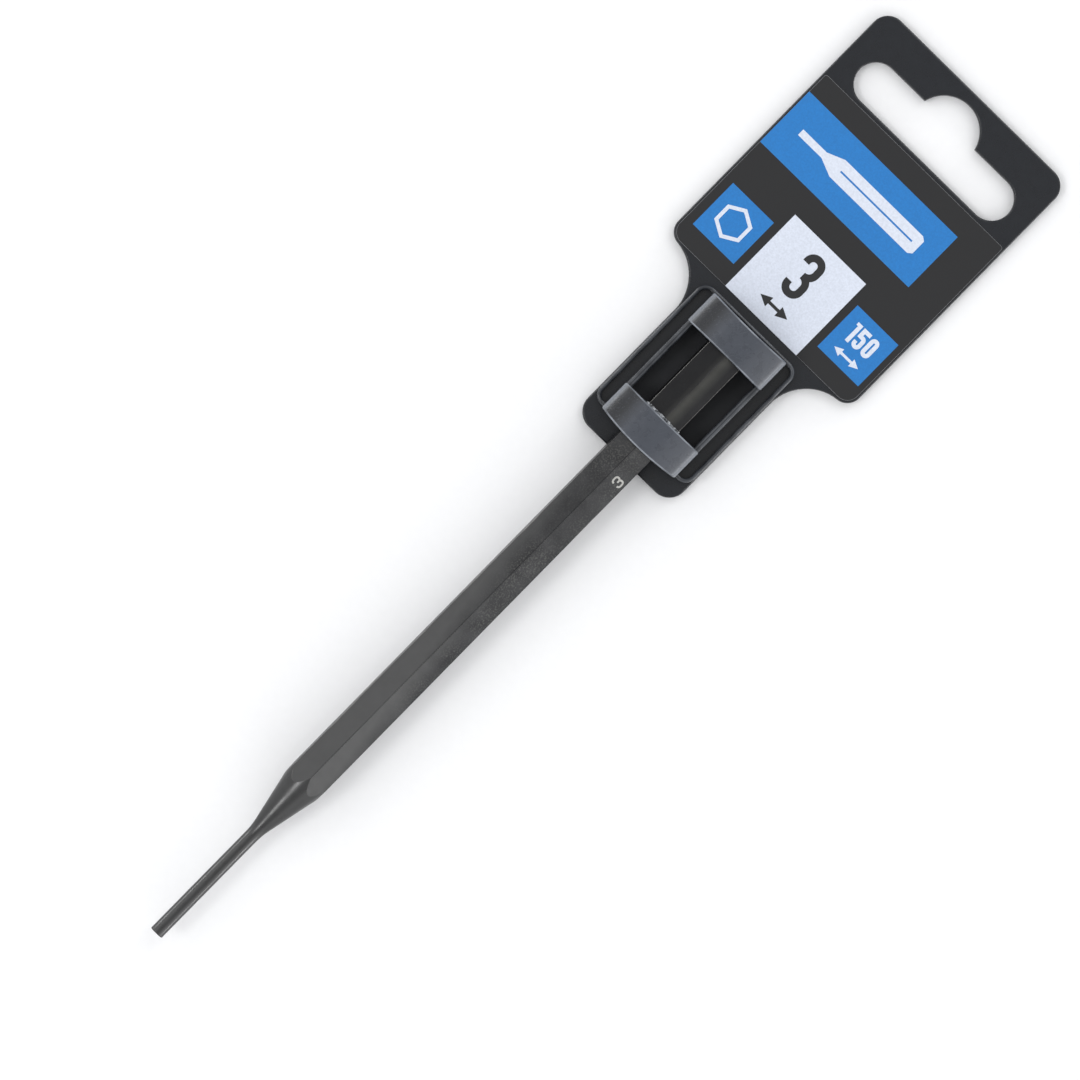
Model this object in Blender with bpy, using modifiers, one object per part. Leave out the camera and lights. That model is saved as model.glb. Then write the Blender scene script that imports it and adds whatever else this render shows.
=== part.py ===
"""A pin punch held in the plastic hanger that it is sold on. Metres, +Z up.

The assembly lies face up: the punch runs along Y with its pin towards -Y, and the hanger's
back face is the plane Z = 0. Stations along the punch are counted from the pin's driving face.
"""

import math

import bmesh
import bpy

# The punch: a hexagonal bar turned down to a pin at one end and chamfered to a crowned head
PUNCH_LENGTH = 0.150
PIN_DIAMETER = 0.0027
PIN_LENGTH = 0.026
PIN_EDGE = 0.00015
CONE_LENGTH = 0.014
BAR_ACROSS_FLATS = 0.0076
BAR_TURN = math.radians(4)
HEAD_CHAMFER = 0.00114
CROWN_RISE = 0.0005

# The hanger's sleeve: bridges over the shank on two rails, inside a shallow tray on the foot
CLEARANCE = 0.0003
BRIDGE_WALL = 0.0012
BRIDGE_FALL = 0.0035
BRIDGE_EDGE = 0.0008
RAIL_DROP = 0.0006
WELL_WIDTH = 0.00405
RAIL_WALL = 0.00125
RAIL_INSET = 0.0001
MOAT_WIDTH = 0.0020
RIM_WALL = 0.0008
RIM_INSET = 0.00025
RIM_RISE = 0.0026
RIM_CORNER = 0.0023
SHELF_LENGTH = 0.0041
LOWER_BRIDGE = 0.0064
START_BOW = 0.0008
END_BOW = 0.0004
WINDOW_LENGTH = 0.0158
HEAD_COVER = 0.0030
END_WALL = 0.0037
END_LIP = 0.0006
START_LIP = 0.0003

# The hanger's plate, with its hanging slot, and the flare from the foot
PLATE_THICKNESS = 0.0020
PLATE_WIDTH = 0.0462
PLATE_HEIGHT = 0.05735
PLATE_CORNER = 0.0035
LOWER_CORNER = 0.0030
FLARE_START = 0.0263
FLARE_RADIUS = 0.0090
FOOT_CORNER = 0.00375
EDGE_ROUND = 0.00035
BORE_SINK = 0.0005
SLOT_LENGTH = 0.0377
SLOT_HEIGHT = 0.0082
SLOT_DROP = 0.01145
PEG_RADIUS = 0.0065
PEG_RISE = 0.00265

# The printed film on the plate, over the thickness of its adhesive
FILM_THICKNESS = 0.00015
ADHESIVE = 0.0001
FILM_MARGIN = 0.0005
FILM_FOOT_GAP = 0.0018
FILM_SLOT_GAP = 0.00095

# Fineness of the round stretches, and how far a cutter runs past what it cuts
TURNED_STEPS = 48
ARC_STEP = math.radians(9)
CROWN_STEPS = 4
EDGE_SEGMENTS = 2
CUT_PAST = 0.001
ON_END = (math.pi / 2, 0, 0)

# The bar and the bore round it
BAR_RADIUS = BAR_ACROSS_FLATS / math.sqrt(3)
BORE_RADIUS = BAR_RADIUS + CLEARANCE
AXIS_HEIGHT = PLATE_THICKNESS - BORE_SINK + BORE_RADIUS
BRIDGE_TOP = AXIS_HEIGHT + BORE_RADIUS + BRIDGE_WALL
RIM_TOP = PLATE_THICKNESS + RIM_RISE
SUNK = PLATE_THICKNESS / 2

# Half widths of the sleeve, from the shank outwards
WELL_HALF = BAR_ACROSS_FLATS / 2 + WELL_WIDTH
RAIL_HALF = WELL_HALF + RAIL_WALL
SLEEVE_HALF = RAIL_HALF + RAIL_INSET
MOAT_HALF = SLEEVE_HALF + MOAT_WIDTH
RIM_HALF = MOAT_HALF + RIM_WALL
FOOT_HALF = RIM_HALF + RIM_INSET
PLATE_HALF = PLATE_WIDTH / 2

# Stations of the sleeve along the punch, from the stop that the head meets
STOP = PUNCH_LENGTH + CLEARANCE
WINDOW_END = STOP - HEAD_COVER - CLEARANCE
WINDOW_START = WINDOW_END - WINDOW_LENGTH
SLEEVE_START = WINDOW_START - LOWER_BRIDGE
SLEEVE_END = STOP + END_WALL
FOOT_START = SLEEVE_START - SHELF_LENGTH
RIM_START = SLEEVE_START + START_LIP
RIM_END = SLEEVE_END + END_LIP

# Stations of the plate: the flare's arc meets the lower corner's arc where both run one way
FLARE_END = FOOT_START + FLARE_START
ARCS_APART = PLATE_HALF - LOWER_CORNER - FOOT_HALF - FLARE_RADIUS
CORNER_RISE = math.sqrt((FLARE_RADIUS + LOWER_CORNER) ** 2 - ARCS_APART**2)
CORNER_CENTRE = FLARE_END + CORNER_RISE
PLATE_END = CORNER_CENTRE - LOWER_CORNER + PLATE_HEIGHT
SLOT_CENTRE = PLATE_END - SLOT_DROP
FILM_START = RIM_END + FILM_FOOT_GAP
FILM_END = SLOT_CENTRE - SLOT_HEIGHT / 2 - FILM_SLOT_GAP


def clear_scene():
    for found in list(bpy.data.objects):
        bpy.data.objects.remove(found)


def new_collection(name):
    made = bpy.data.collections.new(name)
    bpy.context.scene.collection.children.link(made)
    return made


def material(name, colour, roughness, metallic):
    made = bpy.data.materials.new(name)
    made.use_nodes = True
    shader = made.node_tree.nodes["Principled BSDF"]
    shader.inputs["Base Color"].default_value = (*colour, 1)
    shader.inputs["Roughness"].default_value = roughness
    shader.inputs["Metallic"].default_value = metallic
    return made


def place(name, mesh, collection, location=(0, 0, 0), rotation=(0, 0, 0)):
    made = bpy.data.objects.new(name, mesh)
    made.location = location
    made.rotation_euler = rotation
    made.parent = frame
    collection.objects.link(made)
    if collection is cutters:
        made.hide_render = True
        made.display_type = "WIRE"
    return made


def finish(part, surface):
    part.data.materials.append(surface)
    part.data.shade_smooth()
    part.data.set_sharp_from_angle(angle=math.radians(30))


def arc(centre, radius, start, end):
    """Points on a circle from one angle to another, in degrees, both ends included."""
    steps = max(2, math.ceil(abs(math.radians(end - start)) / ARC_STEP))
    turns = [math.radians(start + (end - start) * i / steps) for i in range(steps + 1)]
    return [(centre[0] + radius * math.cos(t), centre[1] + radius * math.sin(t)) for t in turns]


def mirrored(right_side):
    """A closed outline from the half at +X, which runs from bottom to top."""
    return right_side + [(-x, y) for x, y in reversed(right_side)]


def extruded(name, loops, low, high, collection, rotation=(0, 0, 0)):
    """A flat outline, with any holes in it, as a solid between two heights."""
    curve = bpy.data.curves.new(name, "CURVE")
    curve.dimensions = "2D"
    curve.fill_mode = "BOTH"
    curve.extrude = (high - low) / 2
    for points in loops:
        spline = curve.splines.new("POLY")
        spline.points.add(len(points) - 1)
        for slot, (x, y) in zip(spline.points, points):
            slot.co = (x, y, 0, 1)
        spline.use_cyclic_u = True
    outline = bpy.data.objects.new(name + "_outline", curve)
    bpy.context.scene.collection.objects.link(outline)
    graph = bpy.context.evaluated_depsgraph_get()
    mesh = bpy.data.meshes.new_from_object(outline.evaluated_get(graph))
    bpy.data.objects.remove(outline)
    work = bmesh.new()
    work.from_mesh(mesh)
    bmesh.ops.remove_doubles(work, verts=work.verts, dist=1e-7)
    bmesh.ops.translate(work, verts=work.verts, vec=(0, 0, (low + high) / 2))
    bmesh.ops.recalc_face_normals(work, faces=work.faces)
    work.to_mesh(mesh)
    work.free()
    return place(name, mesh, collection, rotation=rotation)


def box(name, half_width, start, end, low, high):
    """A cutter between two stations and two heights, centred on the punch's plane."""
    mesh = bpy.data.meshes.new(name)
    work = bmesh.new()
    bmesh.ops.create_cube(work, size=1)
    bmesh.ops.scale(work, verts=work.verts, vec=(2 * half_width, end - start, high - low))
    bmesh.ops.translate(work, verts=work.verts, vec=(0, (start + end) / 2, (low + high) / 2))
    work.to_mesh(mesh)
    work.free()
    return place(name, mesh, cutters)


def prism(name, sides, radius, start, end, collection, turn=0):
    """A bar of so many sides along the punch's axis, with two corners in its upright plane."""
    mesh = bpy.data.meshes.new(name)
    work = bmesh.new()
    bmesh.ops.create_cone(
        work, cap_ends=True, segments=sides, radius1=radius, radius2=radius, depth=end - start
    )
    bmesh.ops.translate(work, verts=work.verts, vec=(0, 0, (start + end) / 2))
    work.to_mesh(mesh)
    work.free()
    return place(name, mesh, collection, (0, 0, AXIS_HEIGHT), (-math.pi / 2, turn, 0))


def turned(name, profile):
    """The solid that a profile of radii and stations sweeps round the punch's axis."""
    mesh = bpy.data.meshes.new(name)
    points = [(radius, 0, station) for radius, station in reversed(profile)]
    mesh.from_pydata(points, [(i, i + 1) for i in range(len(points) - 1)], [])
    made = place(name, mesh, cutters, (0, 0, AXIS_HEIGHT), (-math.pi / 2, 0, 0))
    screw = made.modifiers.new("turn", "SCREW")
    screw.steps = screw.render_steps = TURNED_STEPS
    screw.use_merge_vertices = True
    screw.merge_threshold = 1e-6
    return made


def boolean(part, tool, operation):
    made = part.modifiers.new(tool.name, "BOOLEAN")
    made.operation = operation
    made.solver = "EXACT"
    made.object = tool


def round_edges(part, width):
    made = part.modifiers.new("edges", "BEVEL")
    made.width = width
    made.segments = EDGE_SEGMENTS
    made.limit_method = "ANGLE"
    made.angle_limit = math.radians(50)


def turned_profile():
    """Radii and stations of the pin, the cone, the head's chamfer and its crown."""
    pin = PIN_DIAMETER / 2
    past = BAR_RADIUS + CUT_PAST
    slope = (BAR_RADIUS - pin) / CONE_LENGTH
    face = BAR_RADIUS - HEAD_CHAMFER
    shoulder = PUNCH_LENGTH - CROWN_RISE
    crown = (face**2 + CROWN_RISE**2) / (2 * CROWN_RISE)
    widest = math.asin(face / crown)
    profile = [(0, 0), (pin - PIN_EDGE, 0), (pin, PIN_EDGE), (pin, PIN_LENGTH)]
    profile.append((past, PIN_LENGTH + (past - pin) / slope))
    profile.append((past, shoulder - (past - face)))
    for i in range(CROWN_STEPS, -1, -1):
        lean = widest * i / CROWN_STEPS
        profile.append((crown * math.sin(lean), PUNCH_LENGTH - crown * (1 - math.cos(lean))))
    return profile


def make_punch():
    past = CUT_PAST
    punch = prism("punch", 6, BAR_RADIUS, -past, PUNCH_LENGTH + past, parts, BAR_TURN)
    boolean(punch, turned("turned_envelope", turned_profile()), "INTERSECT")
    finish(punch, material("black_oxide_steel", (0.035, 0.035, 0.037), 0.42, 0.9))


def plate_outline():
    """The foot, its flare and the plate, anticlockwise from the foot's lower right corner."""
    foot = (FOOT_HALF - FOOT_CORNER, FOOT_START + FOOT_CORNER)
    flare = (FOOT_HALF + FLARE_RADIUS, FLARE_END)
    lower = (PLATE_HALF - LOWER_CORNER, CORNER_CENTRE)
    upper = (PLATE_HALF - PLATE_CORNER, PLATE_END - PLATE_CORNER)
    meet = math.degrees(math.atan2(CORNER_RISE, ARCS_APART))
    right = arc(foot, FOOT_CORNER, -90, 0)
    right += arc(flare, FLARE_RADIUS, 180, meet)
    right += arc(lower, LOWER_CORNER, meet - 180, 0)[1:]
    right += arc(upper, PLATE_CORNER, 0, 90)
    return mirrored(right)


def slot_outline():
    """A long slot with a round bump at the middle of its upper edge, where the peg sits."""
    half = SLOT_HEIGHT / 2
    end = (SLOT_LENGTH / 2 - half, SLOT_CENTRE)
    foot = math.degrees(math.asin((half - PEG_RISE) / PEG_RADIUS))
    right = arc(end, half, -90, 90)
    right += arc((0, SLOT_CENTRE + PEG_RISE), PEG_RADIUS, foot, 90)[:-1]
    return mirrored(right)


def rounded_outline(half_width, start, end, start_corner, end_corner):
    right = arc((half_width - start_corner, start + start_corner), start_corner, -90, 0)
    right += arc((half_width - end_corner, end - end_corner), end_corner, 0, 90)
    return mirrored(right)


def bridge_outline():
    """The sleeve seen along the punch: upright sides, rounded shoulders and an arched top."""
    arch = (SLEEVE_HALF**2 + BRIDGE_FALL**2) / (2 * BRIDGE_FALL)
    centre = BRIDGE_TOP - arch
    inner = arch - BRIDGE_EDGE
    side = SLEEVE_HALF - BRIDGE_EDGE
    lean = math.degrees(math.acos(side / inner))
    shoulder = centre + math.sqrt(inner**2 - side**2)
    right = [(SLEEVE_HALF, SUNK)]
    right += arc((side, shoulder), BRIDGE_EDGE, 0, lean)
    right += arc((0, centre), arch, lean, 90)[1:-1]
    return mirrored(right), shoulder


def bow(station, depth):
    """An arc right across the sleeve, which bows towards the pin by a depth."""
    radius = (SLEEVE_HALF**2 + depth**2) / (2 * depth)
    lean = math.degrees(math.asin(SLEEVE_HALF / radius))
    return arc((0, station - depth + radius), radius, -90 - lean, -90 + lean)


def sleeve_plan():
    """The sleeve seen from above, with room at its sides: both of its ends are bowed."""
    side = SLEEVE_HALF + CUT_PAST
    outline = bow(SLEEVE_START, START_BOW) + [(side, SLEEVE_START), (side, SLEEVE_END)]
    outline += reversed(bow(SLEEVE_END, END_BOW))
    return outline + [(-side, SLEEVE_END), (-side, SLEEVE_START)]


def make_hanger():
    outline = [plate_outline(), slot_outline()]
    hanger = extruded("hanger", outline, 0, PLATE_THICKNESS, parts)
    round_edges(hanger, EDGE_ROUND)

    above = BRIDGE_TOP + CUT_PAST
    edge = rounded_outline(RIM_HALF, RIM_START, RIM_END, RIM_CORNER, RIM_CORNER)
    rim = extruded("rim", [edge], SUNK, RIM_TOP, cutters)
    boolean(hanger, rim, "UNION")

    start, end, corner = RIM_START + RIM_WALL, RIM_END - RIM_WALL, RIM_CORNER - RIM_WALL
    edge = rounded_outline(MOAT_HALF, start, end, corner, corner)
    moat = extruded("moat", [edge], PLATE_THICKNESS, above, cutters)
    boolean(hanger, moat, "DIFFERENCE")

    section, shoulder = bridge_outline()
    ends = -SLEEVE_END - CUT_PAST, -FOOT_START
    sleeve = extruded("sleeve", [section], *ends, cutters, ON_END)
    plan = extruded("sleeve_plan", [sleeve_plan()], 0, above, cutters)
    boolean(sleeve, plan, "INTERSECT")
    boolean(hanger, sleeve, "UNION")

    window = box("window", WELL_HALF, WINDOW_START, WINDOW_END, PLATE_THICKNESS, above)
    boolean(hanger, window, "DIFFERENCE")
    past = SLEEVE_HALF + CUT_PAST
    trim = box("rail_trim", past, WINDOW_START, WINDOW_END, shoulder - RAIL_DROP, above)
    boolean(hanger, trim, "DIFFERENCE")
    for side in (-1, 1):
        skin = box("rail_side", CUT_PAST / 2, WINDOW_START, WINDOW_END, PLATE_THICKNESS, above)
        skin.location.x = side * (RAIL_HALF + CUT_PAST / 2)
        boolean(hanger, skin, "DIFFERENCE")
    bore = prism("bore", TURNED_STEPS, BORE_RADIUS, FOOT_START - CUT_PAST, STOP, cutters)
    boolean(hanger, bore, "DIFFERENCE")
    finish(hanger, material("moulded_polypropylene", (0.021, 0.023, 0.030), 0.45, 0))


def make_label():
    low = PLATE_THICKNESS + ADHESIVE
    half = PLATE_HALF - FILM_MARGIN
    corner = LOWER_CORNER - FILM_MARGIN
    edge = rounded_outline(half, FILM_START, FILM_END, corner, FILM_MARGIN)
    label = extruded("label", [edge], low, low + FILM_THICKNESS, parts)
    finish(label, material("printed_film", (0.042, 0.041, 0.045), 0.55, 0))


clear_scene()
parts = new_collection("pin_punch")
cutters = new_collection("cutters")
frame = bpy.data.objects.new("middle_of_length", None)
frame.location = (0, -PLATE_END / 2, 0)
parts.objects.link(frame)
make_punch()
make_hanger()
make_label()
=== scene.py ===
# %% [markdown]
# # A pin punch in its hanger
#
# A pin punch drives pins out of their holes. This one is a single piece of hexagonal steel bar: one
# end is turned down to a thin pin, the other is chamfered for the hammer, and all of it is blackened.
# It is sold in a hanger, a flat plastic moulding with a hanging slot, whose sleeve holds the head end
# of the bar, with a printed label stuck on its plate.
#
# The construction, with its real sizes and its one moving part, is already made and packed. This
# lesson loads it as a fixed frame and models the finished surfaces over it, one piece at a time:
# studio first, then the punch, the hanger and the label.

# %% Load the frame
import math

import bmesh
import bpy
from mathutils import Matrix, Vector


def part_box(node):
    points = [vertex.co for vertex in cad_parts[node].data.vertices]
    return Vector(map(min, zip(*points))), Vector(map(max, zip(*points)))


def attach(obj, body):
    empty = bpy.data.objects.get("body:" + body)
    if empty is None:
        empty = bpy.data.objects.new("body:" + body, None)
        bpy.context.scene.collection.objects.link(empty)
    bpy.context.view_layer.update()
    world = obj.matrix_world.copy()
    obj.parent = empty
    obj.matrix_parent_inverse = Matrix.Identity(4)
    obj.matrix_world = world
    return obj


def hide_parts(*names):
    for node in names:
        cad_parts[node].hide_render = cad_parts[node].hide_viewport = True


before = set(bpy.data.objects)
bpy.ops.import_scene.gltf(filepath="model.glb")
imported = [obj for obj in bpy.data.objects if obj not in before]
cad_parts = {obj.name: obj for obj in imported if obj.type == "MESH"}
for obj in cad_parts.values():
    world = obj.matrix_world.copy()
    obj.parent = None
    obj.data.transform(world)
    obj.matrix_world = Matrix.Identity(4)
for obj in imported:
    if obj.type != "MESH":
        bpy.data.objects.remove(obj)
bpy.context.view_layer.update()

# %% [markdown]
# ## Where things are
#
# Everything here is in metres. The assembly lies face up on the floor: the back of the hanger is the
# plane Z = 0, and the punch runs along Y, with its pin towards -Y. Places along the punch are easier
# to read as stations, the distance from the end of the pin, so the first helper turns a station into
# a place on Y. The sizes that the frame can tell are measured from it and not typed again: the axis
# of the punch, the size of its bar and how far the bar leans in its sleeve.

# %% Measure the frame
HALF_A_FLAT = math.radians(30)        # half the angle that one flat of a hexagon takes

punch_low, punch_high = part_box("punch")
hanger_low, hanger_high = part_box("hanger")
film_low, film_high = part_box("label")

AXIS_Z = (punch_low.z + punch_high.z) / 2
PUNCH_LENGTH = punch_high.y - punch_low.y
ridge = max(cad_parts["punch"].data.vertices, key=lambda v: v.co.z).co
BAR_RADIUS = math.hypot(ridge.x, ridge.z - AXIS_Z)
BAR_FLAT = BAR_RADIUS * math.cos(HALF_A_FLAT)
BAR_LEAN = math.atan2(ridge.x, ridge.z - AXIS_Z)


def along(station):
    """The place on Y of a station, which is counted from the end of the pin."""
    return punch_low.y + station


print(f"punch {PUNCH_LENGTH * 1000:.1f} mm long, {BAR_FLAT * 2000:.2f} mm across its flats")
print(f"the bar leans {math.degrees(BAR_LEAN):.1f} degrees, its axis is {AXIS_Z * 1000:.2f} mm up")

# %% [markdown]
# ## The camera
#
# The photograph looks straight down, with the punch lying across the picture from its lower left to
# its upper right corner. A long lens from far away keeps the sides of tall parts out of sight, as it
# does there. The picture is as wide as the object needs with its punch drawn out of the sleeve, so
# that the tip doesn't leave it when the punch moves.

# %% Place the camera
CAMERA_TURN = math.radians(44.5)
CAMERA_HEIGHT = 1.4
PICTURE_WIDTH = 0.197
PICTURE_CENTRE = (-0.0003, -0.0069)

bpy.ops.object.select_all(action="DESELECT")
bpy.ops.object.camera_add(location=(*PICTURE_CENTRE, CAMERA_HEIGHT), rotation=(0, 0, CAMERA_TURN))
camera = bpy.context.object
camera.data.lens = camera.data.sensor_width * CAMERA_HEIGHT / PICTURE_WIDTH
bpy.context.scene.camera = camera
print(f"lens {camera.data.lens:.0f} mm, picture {PICTURE_WIDTH * 1000:.0f} mm wide")

# %% [markdown]
# ## The studio
#
# Black steel and black plastic show little but what they mirror. In the photograph both are a soft
# dark grey, and bright lines run along their rounded edges. So the room is a light tent: pale walls,
# and a ceiling that is a little greyer, which the camera sees in all that lies flat. A wide lamp on
# the right and a smaller, weaker one on the left light the leaning faces of the bar. Two more stand
# high beyond its ends, and the cone throws the one beyond the tip up into the camera, as a long bright
# stripe. Four narrow lamps stand nearly as low as the floor and draw the lines on the edges.

# %% Light the room
# A lamp has its tilts about X and Y and the size of its disc, all in degrees, and its strength.
LAMPS = (
    ("left_lamp", (0, -44), 30, 0.18),
    ("right_lamp", (0, 56), 52, 0.33),
    ("tip_lamp", (24, -21), 18, 0.50),
    ("head_lamp", (-38, 0), 36, 0.42),
    ("left_edge_lamp", (0, -82), 12, 0.42),
    ("right_edge_lamp", (0, 84), 12, 0.42),
    ("tip_edge_lamp", (74, 0), 14, 0.25),
    ("head_edge_lamp", (-74, 0), 14, 0.25),
)

for name, tilts, disc, strength in LAMPS:
    bpy.ops.object.light_add(type="SUN", rotation=[math.radians(tilt) for tilt in (*tilts, 0)])
    lamp = bpy.context.object
    lamp.name = name
    lamp.data.energy = strength
    lamp.data.angle = math.radians(disc)
print("lamps:", [lamp[0] for lamp in LAMPS])

# %% [markdown]
# ## Colours and nodes
#
# A colour picked from a screen is in sRGB, and Blender's sockets hold linear light, so one function
# turns hex colours into linear ones. Two more work on nodes, of a material or of the room: one sets
# the sockets of a node, and links a socket where it is given another node, and the other adds a node
# with its settings.

# %% Helpers for colours and nodes
def linear(hex_colour):
    """An sRGB hex colour as linear light, with full opacity."""
    shares = [int(hex_colour[i : i + 2], 16) / 255 for i in (1, 3, 5)]
    return [s / 12.92 if s <= 0.04045 else ((s + 0.055) / 1.055) ** 2.4 for s in shares] + [1]


def set_sockets(tree, node, sockets):
    """Sets sockets, by name or in their order, to values, hex colours, other nodes or their outputs."""
    for socket, value in sockets.items() if isinstance(sockets, dict) else enumerate(sockets):
        if isinstance(value, bpy.types.Node):
            value = next(output for output in value.outputs if output.enabled)
        if isinstance(value, bpy.types.NodeSocket):
            tree.links.new(value, node.inputs[socket])
        else:
            node.inputs[socket].default_value = linear(value) if isinstance(value, str) else value


def add_node(tree, kind, sockets=(), **properties):
    """Adds a node with its properties and its sockets."""
    made = tree.nodes.new("ShaderNode" + kind)
    for name, value in properties.items():
        setattr(made, name, value)
    set_sockets(tree, made, sockets)
    return made


# %% [markdown]
# The light of the tent comes from the room itself, as a background that is brighter in the directions
# of the walls than in that of the ceiling, and fades from one to the other by height.

# %% Hang the tent
TENT_WHITE = "#FAFBFC"
WALL_LIGHT, CEILING_LIGHT = 0.95, 0.72
CEILING_STARTS, CEILING_FULL = 0.50, 0.80

room = bpy.data.worlds.new("studio_room")
room.use_nodes = True
bpy.context.scene.world = room
bpy.context.scene.view_settings.view_transform = "Standard"
tree = room.node_tree
tree.nodes.clear()
height = add_node(tree, "SeparateXYZ", [add_node(tree, "TexCoord").outputs["Generated"]]).outputs["Z"]
fade = (height, CEILING_STARTS, CEILING_FULL, WALL_LIGHT, CEILING_LIGHT)
glow = add_node(tree, "MapRange", fade, interpolation_type="SMOOTHSTEP")
walls = add_node(tree, "Background", (TENT_WHITE, glow))
add_node(tree, "OutputWorld", {"Surface": walls})
print("room:", len(tree.nodes), "nodes")

# %% [markdown]
# Most finishes below start alike: a new material, whose shader has a few fixed values, and the place
# on the piece in metres. They go on alike too. Patches of a real size, such as grains, scratches or
# rubbed spots, come from a noise of that size, whose scale counts repeats in a metre. Only the part
# of its range that is asked for counts, so they can be soft or crisp. They say how far a coat of
# colour shows over the one before, or how rough the surface is.

# %% Helpers for finishes
def new_finish(name, fixed):
    """A new material. Returns it with its nodes, its shader and the place on the piece."""
    made = bpy.data.materials.new(name)
    made.use_nodes = True
    shader = made.node_tree.nodes["Principled BSDF"]
    set_sockets(made.node_tree, shader, fixed)
    return made, made.node_tree, shader, add_node(made.node_tree, "TexCoord").outputs["Object"]


def patches(tree, place, size, detail=2, count=(0, 1), give=(0, 1)):
    """Patches of a size in mm, or of one size on each axis. Count is the range of noise that matters."""
    sizes = size if isinstance(size, tuple) else (size, size, size)
    scaled = add_node(tree, "Mapping", {"Vector": place, "Scale": [1000 / side for side in sizes]})
    noise = add_node(tree, "TexNoise", {"Vector": scaled, "Scale": 1, "Detail": detail})
    return add_node(tree, "MapRange", (noise, *count, *give))


def coloured(tree, ground, *coats):
    """Coats over a ground colour. A coat is a colour and its shares, and shows where all of them do."""
    for colour, shown, *others in coats:
        for share in others:
            shown = add_node(tree, "Math", (shown, share), operation="MULTIPLY")
        # For colours, this node's share is socket 0, and the two colours are sockets 6 and 7.
        ground = add_node(tree, "Mix", {0: shown, 6: ground, 7: colour}, data_type="RGBA")
    return ground


# %% [markdown]
# ## Modelling helpers
#
# Each piece is modelled as by hand: a primitive is put in its place, shaped in edit mode, and given
# modifiers that are applied. In edit mode an operator acts on what is selected. So one helper selects
# the corners, edges or faces that pass a test of their place or direction, and two more extrude them
# or round them.

# %% Helpers for edit mode
NEAR = 0.000001
STRAIGHT, LEVEL = 0.999, 0.9


def select(kind, wanted=lambda part: True):
    """In edit mode, selects the active piece's VERT, EDGE or FACE parts that pass a test."""
    bpy.ops.object.mode_set(mode="EDIT")
    bpy.ops.mesh.select_mode(type=kind)
    bpy.ops.mesh.select_all(action="DESELECT")
    work = bmesh.from_edit_mesh(bpy.context.edit_object.data)
    parts = {"VERT": work.verts, "EDGE": work.edges, "FACE": work.faces}[kind]
    found = [part for part in parts if wanted(part)]
    for part in found:
        part.select_set(True)
    bmesh.update_edit_mesh(bpy.context.edit_object.data)
    return len(found)


def leave_edit_mode():
    bpy.ops.object.mode_set(mode="OBJECT")


def extrude(x, y, z):
    """Extrudes what is selected by a step."""
    bpy.ops.mesh.extrude_region_move(TRANSFORM_OT_translate={"value": (x, y, z)})


def round_edges(wanted, radius, segments, **settings):
    """Bevels the edges that pass a test. Settings can give the slot of the new faces as a material."""
    found = select("EDGE", wanted)
    bpy.ops.mesh.bevel(offset=radius, segments=segments, **settings)
    return found


def middle(edge):
    """The middle of an edge."""
    return (edge.verts[0].co + edge.verts[1].co) / 2


def runs(edge, axis):
    """True if an edge runs along an axis: 0 is X, 1 is Y and 2 is Z."""
    step = edge.verts[1].co - edge.verts[0].co
    return abs(step[axis]) > STRAIGHT * step.length


def at_height(edge, z):
    return all(abs(vertex.co.z - z) < NEAR for vertex in edge.verts)


def faces_up(face):
    return face.normal.z > LEVEL


# %% [markdown]
# Around edit mode, one helper sets the place of a new primitive into its mesh, and the others give a
# piece its materials, apply a modifier, and cut or join a piece with a second one, which is removed.

# %% Helpers for pieces
def new_piece(name, scale=(1, 1, 1)):
    """Names the primitive just added, and sets its place, turn and scale into its mesh."""
    piece = bpy.context.object
    piece.name = name
    piece.scale = scale
    bpy.ops.object.transform_apply(location=True, rotation=True, scale=True)
    return piece


def give_slots(piece, surfaces):
    """Gives a piece its materials, in the order of their slots."""
    piece.data.materials.clear()
    for surface in surfaces:
        piece.data.materials.append(surface)


def modify(piece, kind, **settings):
    """Adds a modifier to a piece and applies it."""
    bpy.ops.object.select_all(action="DESELECT")
    bpy.context.view_layer.objects.active = piece
    piece.select_set(True)
    bpy.ops.object.modifier_add(type=kind)
    modifier = piece.modifiers[-1]
    for name, value in settings.items():
        setattr(modifier, name, value)
    bpy.ops.object.modifier_apply(modifier=modifier.name)


def combine(piece, operation, other, **settings):
    """Takes the DIFFERENCE, UNION or INTERSECT of a piece and another one, which is removed."""
    modify(piece, "BOOLEAN", operation=operation, solver="EXACT", object=other, **settings)
    bpy.data.objects.remove(other)


def triangles(piece):
    return sum(len(face.vertices) - 2 for face in piece.data.polygons)


# %% [markdown]
# ## The floor
#
# The floor is a sheet of white card, much larger than the object so that its edge stays out of every
# view. A trace of mottling keeps it from looking like plain paper white in the computer.

# %% Lay the floor
FLOOR_SIZE = 40
FLOOR_DROP = 0.0002
CARD_SHADE, CARD_WHITE = "#F1F1F2", "#F4F4F5"
CARD_GRAIN = 1.5

card, tree, shader, place = new_finish("matt_white_card", {"Roughness": 0.9, "Specular IOR Level": 0.2})
mottled = coloured(tree, CARD_SHADE, (CARD_WHITE, patches(tree, place, CARD_GRAIN)))
set_sockets(tree, shader, {"Base Color": mottled})

bpy.ops.mesh.primitive_plane_add(size=FLOOR_SIZE, location=(0, 0, -FLOOR_DROP))
floor = new_piece("floor")
give_slots(floor, [card])
print("floor:", FLOOR_SIZE, "m square")
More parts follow.
